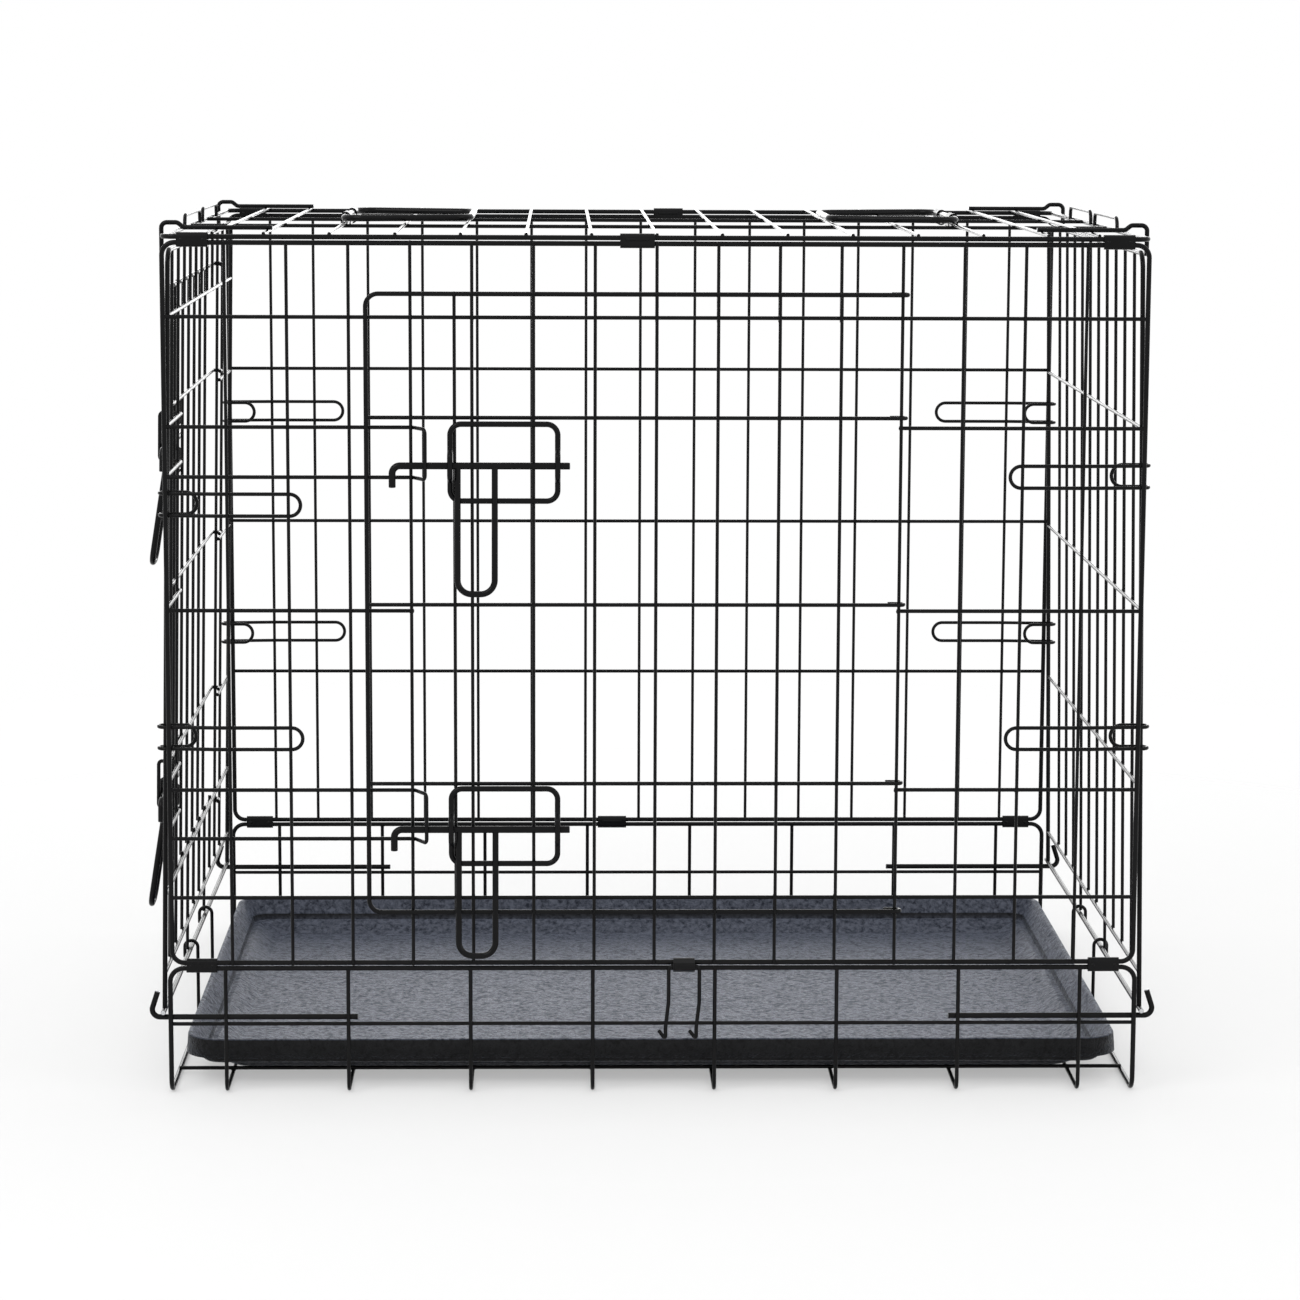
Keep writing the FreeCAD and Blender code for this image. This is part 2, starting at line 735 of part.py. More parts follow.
hook = corner_hook()
hooks = [hook, mirror_x(hook)]
save("front_rail_hooks", hooks)
save("rear_rail_hooks", [mirror_y(h) for h in hooks])
links = [end_link(-LINK_Y), end_link(LINK_Y)]
save("left_rail_links", links)
save("right_rail_links", [mirror_x(link) for link in links])
arch = top_hook()
arches = [arch, mirror_y(arch)]
save("left_top_hooks", arches)
save("right_top_hooks", [mirror_x(a) for a in arches])
loop = lift_loop()
loops = [loop, mirror_y(loop)]
save("left_lift_loops", loops)
save("right_lift_loops", [mirror_x(bow) for bow in loops])

corners = [(-CORNER_CLIP_X, CORNER_CLIP), (CORNER_CLIP_X, CORNER_CLIP)]
beside = (MESH + CLIP) / 2 + CLIP_GAP
save("front_top_clips", row_of_clips(-HALF_DEPTH, HIGH_Z, corners + [(-beside, CLIP)]))
save("rear_top_clips", row_of_clips(HALF_DEPTH, HIGH_Z, corners + [(REAR_PITCH / 2, CLIP)]))
save("front_fold_clips", row_of_clips(-HALF_DEPTH, BASE_RAIL_Z, corners))
save("rear_fold_clips", row_of_clips(HALF_DEPTH, BASE_RAIL_Z, corners + [(-REAR_PITCH / 2, CLIP)]))
save("lock_clip", lock_clip())
save("lock_hook", lock_hook())

bail = carry_handle()
save("left_carry_handle", bail)
save("right_carry_handle", mirror_x(bail))
clips = [carry_clip(-CARRY_CLIP_Y), carry_clip(CARRY_CLIP_Y)]
save("left_carry_clips", clips)
save("right_carry_clips", [mirror_x(clip) for clip in clips])
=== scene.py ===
"""Looks of a folding wire pet crate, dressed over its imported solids.

Sizes are in metres, in the frame of the solids: X runs along the crate's length, Y from its front to its
rear and Z up from the floor.
"""

import json
import logging
import math
import random
from dataclasses import dataclass
from enum import Enum
from typing import Iterable, Iterator, Sequence

import bmesh
import bpy
from mathutils import Matrix, Vector


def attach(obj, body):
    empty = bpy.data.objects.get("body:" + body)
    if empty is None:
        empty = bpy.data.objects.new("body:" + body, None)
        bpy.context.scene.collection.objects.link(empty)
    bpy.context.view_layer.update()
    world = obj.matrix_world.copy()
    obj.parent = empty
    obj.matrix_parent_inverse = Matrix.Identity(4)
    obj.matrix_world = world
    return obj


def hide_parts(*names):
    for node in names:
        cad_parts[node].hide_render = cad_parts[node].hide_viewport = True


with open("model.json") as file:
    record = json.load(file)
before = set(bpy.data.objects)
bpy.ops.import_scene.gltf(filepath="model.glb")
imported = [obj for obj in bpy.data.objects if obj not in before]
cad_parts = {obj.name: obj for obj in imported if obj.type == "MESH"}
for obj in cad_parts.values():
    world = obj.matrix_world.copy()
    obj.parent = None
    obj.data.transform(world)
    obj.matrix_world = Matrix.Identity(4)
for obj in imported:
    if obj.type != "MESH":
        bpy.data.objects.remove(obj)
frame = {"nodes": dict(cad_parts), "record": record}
LOG = logging.getLogger("crate")
Colour = tuple[float, float, float]
Point = tuple[float, float, float]
Shade = Colour | bpy.types.NodeSocket
BARE = "bare"
# Mesh mark of the tray's upward faces, which get a painted sheen: a paler, bluer colour standing in for the
# grazing reflection of the bright surround.
PAINTED_SHEEN = "painted_sheen"
STEEL: Colour = (0.62, 0.63, 0.65)
# The profile of a round bevel.
ROUND = 0.5
# The places of a mix node's two colours and of its mixed colour.
MIX_COLOURS = (6, 7)
MIX_RESULT = 2


class Slot(Enum):
    """The record's material slots."""

    WIRE = "wire"
    LATCH = "latch"
    CLIP = "clip"
    TRAY = "tray"


class Body(Enum):
    """The moving bodies that added pieces ride on."""

    CAGE = "cage"
    LEFT_END = "left_end"
    RIGHT_END = "right_end"
    FRONT_DOOR = "front_door"
    LEFT_DOOR = "left_door"
    TRAY = "tray"
    FRONT_UPPER_BAIL = "front_upper_bail"
    FRONT_LOWER_BAIL = "front_lower_bail"
    LEFT_UPPER_BAIL = "left_upper_bail"
    LEFT_LOWER_BAIL = "left_lower_bail"
    FRONT_UPPER_SHANK = "front_upper_shank"
    FRONT_LOWER_SHANK = "front_lower_shank"
    LEFT_UPPER_SHANK = "left_upper_shank"
    LEFT_LOWER_SHANK = "left_lower_shank"


@dataclass(frozen=True)
class Grain:
    """The character of a layer of noise, and the band of its values that is stretched from 0 to 1."""

    detail: float
    roughness: float
    distortion: float = 0.0
    band: tuple[float, float] = (0.0, 1.0)


class Sheet:
    """A node tree with short ways to add nodes and join them."""

    def __init__(self, tree: bpy.types.NodeTree) -> None:
        """Keeps the tree that nodes are added to.

        Args:
            tree: The node tree.
        """
        self.tree = tree

    def fill(self, socket: bpy.types.NodeSocket, value: object) -> None:
        """Gives an input a value, or joins an output to it.

        Args:
            socket: The input.
            value: A plain value or an output socket.
        """
        if isinstance(value, bpy.types.NodeSocket):
            self.tree.links.new(value, socket)
        else:
            socket.default_value = value

    def add(self, kind: str, settings: dict[str, object] | None = None, **inputs: object) -> bpy.types.Node:
        """Adds a node, sets its options and fills or joins its inputs.

        Args:
            kind: The node's type name.
            settings: Options of the node itself.
            inputs: Values or output sockets by input name, with spaces written as underscores.

        Returns:
            The new node.
        """
        node = self.tree.nodes.new(kind)
        for name, value in (settings or {}).items():
            setattr(node, name, value)
        for name, value in inputs.items():
            self.fill(node.inputs[name.replace("_", " ")], value)
        return node

    def mix(self, factor: bpy.types.NodeSocket, a: Shade, b: Shade) -> bpy.types.NodeSocket:
        """Mixes two colours by a mask.

        Args:
            factor: The mask, from 0 to 1.
            a: Colour where the mask is 0, plain or as an output socket.
            b: Colour where the mask is 1, plain or as an output socket.

        Returns:
            The mixed colour.
        """
        node = self.add("ShaderNodeMix", {"data_type": "RGBA"}, Factor=factor)
        for place, shade in zip(MIX_COLOURS, (a, b)):
            self.fill(node.inputs[place], (*shade, 1.0) if isinstance(shade, tuple) else shade)
        return node.outputs[MIX_RESULT]

    def spread(self, value: bpy.types.NodeSocket, low: float, high: float,
               start: float = 0.0, end: float = 1.0) -> bpy.types.NodeSocket:
        """Maps a value from one range to another.

        Args:
            value: The value to map.
            low: Result at the start of the range.
            high: Result at the end of the range.
            start: Where the range starts.
            end: Where the range ends.

        Returns:
            The mapped value.
        """
        node = self.add("ShaderNodeMapRange", Value=value, From_Min=start, From_Max=end,
                        To_Min=low, To_Max=high)
        return node.outputs["Result"]

    def noise(self, place: bpy.types.NodeSocket, scale: bpy.types.NodeSocket,
              grain: Grain) -> bpy.types.NodeSocket:
        """Adds one layer of noise.

        Args:
            place: Where the noise is read.
            scale: How fine it is.
            grain: Its character.

        Returns:
            The noise, from 0 to 1.
        """
        node = self.add("ShaderNodeTexNoise", Vector=place, Scale=scale, Detail=grain.detail,
                        Roughness=grain.roughness, Distortion=grain.distortion)
        return self.spread(node.outputs["Fac"], 0.0, 1.0, *grain.band)


def blank_material(name: str) -> tuple[bpy.types.Material, Sheet]:
    """Makes a material with an empty node tree.

    Args:
        name: The material's name.

    Returns:
        The material, and the sheet that its nodes go on.
    """
    made = bpy.data.materials.new(name)
    made.use_nodes = True
    made.node_tree.nodes.clear()
    return made, Sheet(made.node_tree)


class Effects:
    """The finishes' shader node groups, each built once however many materials use it."""

    PEEL = Grain(2.0, 0.55)
    MOTTLE = Grain(4.0, 0.6, band=(0.32, 0.68))
    GRAIN = Grain(4.0, 0.7, 0.4, (0.33, 0.67))
    CREASE = Grain(3.0, 0.6, 0.8, (0.3, 0.7))
    CREASE_SHARE = 0.4
    CREST = (0.15, 1.25)

    def __init__(self) -> None:
        """Starts with no group built."""
        self.built: dict[str, bpy.types.NodeTree] = {}

    def _group(self, name: str, inputs: dict[str, float], outputs: Sequence[str]) -> bpy.types.NodeTree:
        """Makes an empty group with a vector input.

        Args:
            name: The group's name.
            inputs: Its number inputs and their defaults.
            outputs: Its number outputs.

        Returns:
            The group.
        """
        tree = bpy.data.node_groups.new(name, "ShaderNodeTree")
        tree.interface.new_socket("Vector", in_out="INPUT", socket_type="NodeSocketVector")
        for socket, value in inputs.items():
            made = tree.interface.new_socket(socket, in_out="INPUT", socket_type="NodeSocketFloat")
            made.default_value = value
        for socket in outputs:
            tree.interface.new_socket(socket, in_out="OUTPUT", socket_type="NodeSocketFloat")
        self.built[name] = tree
        return tree

    def peel(self) -> bpy.types.NodeTree:
        """The orange peel and slow mottling of a baked powder coat.

        Returns:
            A group with a height and a mottle.
        """
        name = "powder_peel"
        if name not in self.built:
            tree = self._group(name, {"Peel Scale": 700.0, "Mottle Scale": 40.0}, ("Height", "Mottle"))
            sheet = Sheet(tree)
            source = sheet.add("NodeGroupInput").outputs
            fine = sheet.noise(source["Vector"], source["Peel Scale"], self.PEEL)
            slow = sheet.noise(source["Vector"], source["Mottle Scale"], self.MOTTLE)
            sheet.add("NodeGroupOutput", Height=fine, Mottle=slow)
        return self.built[name]

    def crinkle(self) -> bpy.types.NodeTree:
        """The fine crinkled grain pressed into the tray's plastic.

        Returns:
            A group with a height and a mask of the grain's tops.
        """
        name = "pressed_crinkle"
        if name not in self.built:
            tree = self._group(name, {"Grain Scale": 400.0, "Crease Scale": 150.0}, ("Height", "Crest"))
            sheet = Sheet(tree)
            source = sheet.add("NodeGroupInput").outputs
            fine = sheet.noise(source["Vector"], source["Grain Scale"], self.GRAIN)
            coarse = sheet.noise(source["Vector"], source["Crease Scale"], self.CREASE)
            both = sheet.add("ShaderNodeMath", {"operation": "MULTIPLY_ADD"})
            for socket, value in zip(both.inputs, (coarse, self.CREASE_SHARE, fine)):
                sheet.fill(socket, value)
            crest = sheet.spread(both.outputs["Value"], 0.0, 1.0, *self.CREST)
            sheet.add("NodeGroupOutput", Height=both.outputs["Value"], Crest=crest)
        return self.built[name]


@dataclass(frozen=True)
class CoatFinish:
    """A black powder coat over steel.

    The coat has a fine orange peel, and patches that baked a little duller than the rest. It is worn off
    where a mesh marks the steel as bare.
    """

    name: str
    dark: Colour
    pale: Colour
    gloss: tuple[float, float]
    peel_scale: float
    peel_depth: float
    peel_strength: float = 0.35
    bare_metal: float = 0.85
    specular: float = 0.12

    def material(self, effects: Effects) -> bpy.types.Material:
        """Builds the coat's material.

        Args:
            effects: The shared node groups.

        Returns:
            The material.
        """
        made, sheet = blank_material(self.name)
        place = sheet.add("ShaderNodeTexCoord").outputs["Object"]
        peel = sheet.add("ShaderNodeGroup", {"node_tree": effects.peel()}, Vector=place,
                         Peel_Scale=self.peel_scale).outputs
        bump = sheet.add("ShaderNodeBump", Strength=self.peel_strength, Distance=self.peel_depth,
                         Height=peel["Height"])
        bare = sheet.add("ShaderNodeAttribute", {"attribute_name": BARE}).outputs["Fac"]
        paint = sheet.mix(peel["Mottle"], self.dark, self.pale)
        coat = sheet.add(
            "ShaderNodeBsdfPrincipled",
            Base_Color=sheet.mix(bare, paint, STEEL),
            Roughness=sheet.spread(peel["Mottle"], *self.gloss),
            Metallic=sheet.spread(bare, 0.0, self.bare_metal),
            Normal=bump.outputs["Normal"],
        )
        coat.inputs["Specular IOR Level"].default_value = self.specular
        sheet.add("ShaderNodeOutputMaterial", Surface=coat.outputs["BSDF"])
        return made


@dataclass(frozen=True)
class TrayFinish:
    """Black moulded plastic with a pressed grain that blooms where the light grazes it.

    The faces that the mesh marks for a painted sheen are painted paler and bluer than the rest, standing in
    for the grazing reflection of the bright surround.
    """

    name: str
    dark: Colour
    pale: Colour
    gloss: tuple[float, float]
    grain_scale: float
    depth: float
    # Painted sheen colours, dark and pale, for the faces marked as facing up.
    sheen_colours: tuple[Colour, Colour]
    bloom: float
    bloom_tint: Colour
    grain_strength: float = 0.5
    specular: float = 0.15
    bloom_roughness: float = 0.3

    def material(self, effects: Effects) -> bpy.types.Material:
        """Builds the plastic's material.

        Args:
            effects: The shared node groups.

        Returns:
            The material.
        """
        made, sheet = blank_material(self.name)
        place = sheet.add("ShaderNodeTexCoord").outputs["Object"]
        crinkle = sheet.add("ShaderNodeGroup", {"node_tree": effects.crinkle()}, Vector=place,
                            Grain_Scale=self.grain_scale).outputs
        bump = sheet.add("ShaderNodeBump", Strength=self.grain_strength, Distance=self.depth,
                         Height=crinkle["Height"])
        painted_sheen = sheet.add("ShaderNodeAttribute", {"attribute_name": PAINTED_SHEEN}).outputs["Fac"]
        plain = sheet.mix(crinkle["Crest"], self.dark, self.pale)
        plastic = sheet.add(
            "ShaderNodeBsdfPrincipled",
            # Painted sheen: the marked upward faces take the paler, bluer sheen colours in place of grazing
            # reflection.
            Base_Color=sheet.mix(painted_sheen, plain, sheet.mix(crinkle["Crest"], *self.sheen_colours)),
            Roughness=sheet.spread(crinkle["Crest"], *self.gloss),
            Normal=bump.outputs["Normal"],
        )
        plastic.inputs["Specular IOR Level"].default_value = self.specular
        plastic.inputs["Sheen Weight"].default_value = self.bloom
        plastic.inputs["Sheen Roughness"].default_value = self.bloom_roughness
        plastic.inputs["Sheen Tint"].default_value = (*self.bloom_tint, 1.0)
        sheet.add("ShaderNodeOutputMaterial", Surface=plastic.outputs["BSDF"])
        return made


class Finishes:
    """The crate's materials by slot."""

    def __init__(self) -> None:
        """Builds one material for each slot."""
        effects = Effects()
        finishes: dict[Slot, CoatFinish | TrayFinish] = {
            Slot.WIRE: CoatFinish("black_coat_wire", dark=(0.0045, 0.0045, 0.005),
                                  pale=(0.0075, 0.0075, 0.008), gloss=(0.19, 0.25), peel_scale=620.0,
                                  peel_depth=0.00005),
            Slot.LATCH: CoatFinish("black_coat_rod", dark=(0.004, 0.004, 0.0045),
                                   pale=(0.007, 0.007, 0.0075), gloss=(0.17, 0.23), peel_scale=560.0,
                                   peel_depth=0.00005),
            Slot.CLIP: CoatFinish("black_coat_sheet", dark=(0.005, 0.005, 0.0055),
                                  pale=(0.009, 0.009, 0.0095), gloss=(0.24, 0.33), peel_scale=700.0,
                                  peel_depth=0.00006),
            Slot.TRAY: TrayFinish("black_tray_plastic", dark=(0.006, 0.006, 0.0065),
                                  pale=(0.013, 0.0135, 0.015), gloss=(0.66, 0.22), grain_scale=300.0,
                                  depth=0.0015,
                                  # Painted sheen colours for the tray's upward faces, paler and bluer than
                                  # the plastic.
                                  sheen_colours=((0.013, 0.017, 0.028), (0.124, 0.137, 0.178)),
                                  bloom=0.2, bloom_tint=(0.70, 0.80, 1.0)),
        }
        self.by_slot = {slot: finish.material(effects) for slot, finish in finishes.items()}

    def dress_solids(self) -> None:
        """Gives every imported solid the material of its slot."""
        for part in frame["record"]["subparts"]:
            solid = frame["nodes"][part["node"]]
            self.dress(solid, Slot(part["material_slot"]))

    def dress(self, piece: bpy.types.Object, slot: Slot) -> None:
        """Puts one material on a piece.

        Args:
            piece: The piece to dress.
            slot: The slot whose material it takes.
        """
        piece.data.materials.clear()
        piece.data.materials.append(self.by_slot[slot])


def link_mesh(name: str, shape: bmesh.types.BMesh) -> bpy.types.Object:
    """Turns a finished shape into an object of the scene.

    Args:
        name: The object's name.
        shape: Its shape, which is freed.

    Returns:
        The object.
    """
    mesh = bpy.data.meshes.new(name)
    shape.to_mesh(mesh)
    shape.free()
    made = bpy.data.objects.new(name, mesh)
    bpy.context.scene.collection.objects.link(made)
    return made


def mesh_piece(name: str, shape: bmesh.types.BMesh, body: Body, slot: Slot,
               finishes: Finishes) -> bpy.types.Object:
    """Turns a finished shape into a dressed piece that rides on a body.

    Args:
        name: The piece's name.
        shape: Its shape, which is freed.
        body: The body it moves with.
        slot: The slot it takes its finish from.
        finishes: The crate's materials.

    Returns:
        The piece.
    """
    piece = link_mesh(name, shape)
    piece.data.polygons.foreach_set("use_smooth", [True] * len(piece.data.polygons))
    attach(piece, body.value)
    finishes.dress(piece, slot)
    return piece


@dataclass
class Tray:
    """The loose plastic tray: a ledge and a slope up to a rim that turns down into a skirt.

    The steps give the height and inset of each ring of the sheet's upper face, from the floor to the skirt's
    foot. Faces that look up by more than the sheen tilt are marked for a painted sheen, a paler colour that
    stands in for the grazing reflection of the bright surround.
    """

    half_length: float = 0.3085
    half_depth: float = 0.222
    corner: float = 0.024
    floor_corner: float = 0.010
    floor: float = 0.00535
    wall: float = 0.0024
    edge: float = 0.0006
    corner_segments: int = 10
    edge_segments: int = 3
    sheen_tilt: float = 0.4
    steps: tuple[tuple[float, float], ...] = (
        (0.0024, 0.031), (0.0105, 0.0172), (0.0095, 0.0130), (0.0142, 0.0118), (0.025, 0.004),
        (0.026, 0.0025), (0.0255, 0.001), (0.013, 0.0))

    def _radius(self, inset: float) -> float:
        """Gives the corner radius of a ring.

        Args:
            inset: How far the ring lies inside the rim.

        Returns:
            The radius.
        """
        return max(self.corner - inset, self.floor_corner)

    def _turn(self, vert: bmesh.types.BMVert, inset: float) -> Vector:
        """Gives the centre of the round corner that a vertex belongs to.

        Args:
            vert: The vertex.
            inset: How far its ring lies inside the rim.

        Returns:
            The centre in plan.
        """
        back = inset + self._radius(inset)
        return Vector((math.copysign(self.half_length - back, vert.co.x),
                       math.copysign(self.half_depth - back, vert.co.y)))

    def _spread(self, verts: Iterable[bmesh.types.BMVert], height: float, inset: float,
                before: float) -> None:
        """Moves one ring of the wall to its height and outline.

        Args:
            verts: The ring's vertices.
            height: Height above the tray's underside.
            inset: How far the ring lies inside the rim.
            before: How far inside the rim the ring was drawn from.
        """
        for vert in verts:
            out = (vert.co.xy - self._turn(vert, before)).normalized()
            vert.co.xy = self._turn(vert, inset) + out * self._radius(inset)
            vert.co.z = self.floor + height

    def build(self, finishes: Finishes) -> bpy.types.Object:
        """Models the tray from a rounded sheet that is drawn up in steps and thickened downwards.

        Args:
            finishes: The crate's materials.

        Returns:
            The tray.
        """
        shape = bmesh.new()
        inset = self.steps[0][1]
        size = Matrix.Diagonal((self.half_length - inset, self.half_depth - inset, 1.0, 1.0))
        bmesh.ops.create_grid(shape, x_segments=1, y_segments=1, size=1.0, matrix=size)
        bmesh.ops.bevel(shape, geom=list(shape.verts), offset=self._radius(inset), profile=ROUND,
                        segments=self.corner_segments, affect="VERTICES", material=-1)
        self._spread(shape.verts, self.steps[0][0], inset, inset)
        edges = list(shape.edges)
        sharp = list(edges)
        for height, step in self.steps[1:]:
            drawn = bmesh.ops.extrude_edge_only(shape, edges=edges)["geom"]
            ring = [g for g in drawn if isinstance(g, bmesh.types.BMVert)]
            self._spread(ring, height, step, inset)
            inset = step
            edges = [e for e in drawn if isinstance(e, bmesh.types.BMEdge) and e.is_boundary]
            sharp += edges
        bmesh.ops.recalc_face_normals(shape, faces=list(shape.faces))
        bmesh.ops.bevel(shape, geom=[e for e in sharp if not e.is_boundary], offset=self.edge, profile=ROUND,
                        segments=self.edge_segments, affect="EDGES", material=-1)
        bmesh.ops.solidify(shape, geom=list(shape.faces), thickness=self.wall)
        bmesh.ops.recalc_face_normals(shape, faces=list(shape.faces))
        # Painted sheen: the upward faces are marked, so the finish paints them paler and bluer in place of
        # grazing reflection.
        painted_sheen = shape.verts.layers.float.new(PAINTED_SHEEN)
        for vert in shape.verts:
            upward = [face for face in vert.link_faces if face.normal.z > self.sheen_tilt]
            vert[painted_sheen] = len(upward) / len(vert.link_faces)
        piece = mesh_piece("moulded_tray", shape, Body.TRAY, Slot.TRAY, finishes)
        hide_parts("tray")
        return piece


@dataclass(frozen=True)
class Wiring:
    """Where the wires of the crate run, as far as its weld beads, cut ends and clips need it.

    The slack is how near two places have to be to count as one.
    """

    half_depth: float = 0.240
    low: float = 0.0873
    high: float = 0.5531
    top: float = 0.5568
    head: float = 0.5063
    sill: float = 0.1304
    levels: tuple[float, float, float] = (0.4363, 0.31835, 0.2014)
    staple_rise: float = 0.032
    front_pitch: float = 0.0391
    front_count: int = 7
    front_post: float = 0.1564
    rear_pitch: float = 0.04145
    rear_count: int = 6
    rear_last: float = 0.2811
    rear_step: float = 0.1167
    rear_cross: int = 3
    top_cross: tuple[float, float] = (-0.056, 0.063)
    base_pitch: float = 0.0796
    base_count: int = 4
    base_mid: float = 0.046
    base_rail: float = 0.0836
    floor_cross: tuple[float, float] = (0.063, 0.190)
    end_x: float = 0.319
    end_lean: float = 1.05
    rail: float = 0.0547
    rail_half: float = 0.243
    end_low: float = 0.0785
    end_top: float = 0.5478
    end_pitch: float = 0.041
    end_count: int = 5
    end_door_post: float = 0.1435
    door_out: float = 0.005
    door_heights: tuple[float, ...] = (0.5214, 0.4430, 0.32295, 0.2065, 0.1219)
    extra_wire: float = 0.028
    bolts: tuple[float, float] = (0.4128, 0.1775)
    slack: float = 0.001

    def rear_places(self) -> list[float]:
        """Gives the places of the rear's upright wires.

        Returns:
            The places along X.
        """
        inner = [self.rear_pitch * k for k in range(-self.rear_count, self.rear_count + 1)]
        return [-self.rear_last, *inner, self.rear_last]

    def front_places(self) -> list[float]:
        """Gives the places of the front's upright wires.

        Returns:
            The places along X.
        """
        return [self.front_pitch * k for k in range(-self.front_count, self.front_count + 1)]

    def end_places(self) -> list[float]:
        """Gives the places of an end's upright wires.

        Returns:
            The places along Y.
        """
        return [self.end_pitch * (k + 0.5) for k in range(-self.end_count, self.end_count)]

    def base_places(self) -> list[float]:
        """Gives the places of the base's bent wires.

        Returns:
            The places along X.
        """
        return [self.base_pitch * (k + 0.5) for k in range(-self.base_count, self.base_count)]

    def doorway(self, places: Iterable[float], post: float, low: float,
                high: float) -> Iterator[tuple[float, float]]:
        """Gives the crossings of a panel that has a doorway.

        Args:
            places: Where its uprights stand.
            post: Half the doorway's width.
            low: Height of the panel's lower edge.
            high: Height of its upper edge.

        Yields:
            Each crossing as its place along the panel and its height.
        """
        staples = [z - drop for z in (self.levels[0], self.levels[2]) for drop in (0.0, self.staple_rise)]
        for u in places:
            heights = [low, self.sill, self.head, high]
            if u > post - self.slack:
                heights += self.levels
            elif u < self.slack - post:
                heights += [self.levels[1], *staples]
            for z in heights:
                yield u, z

    def door(self, places: Iterable[float], post: float) -> Iterator[tuple[float, float]]:
        """Gives the crossings of a door.

        Args:
            places: Where the uprights of its panel stand.
            post: Half the doorway's width.

        Yields:
            Each crossing as its place along the door and its height.
        """
        inside = [u for u in places if abs(u) < post - self.slack]
        for u in [*inside, self.extra_wire - post]:
            for z in self.door_heights:
                yield u, z

    def lean(self, side: int) -> Matrix:
        """Gives the lean of an end panel about its rail.

        Args:
            side: -1 for the left end and 1 for the right end.

        Returns:
            The turn, as a matrix.
        """
        rail = Vector((side * self.end_x, 0.0, self.rail))
        turn = Matrix.Rotation(math.radians(-side * self.end_lean), 4, "Y")
        return Matrix.Translation(rail) @ turn @ Matrix.Translation(-rail)


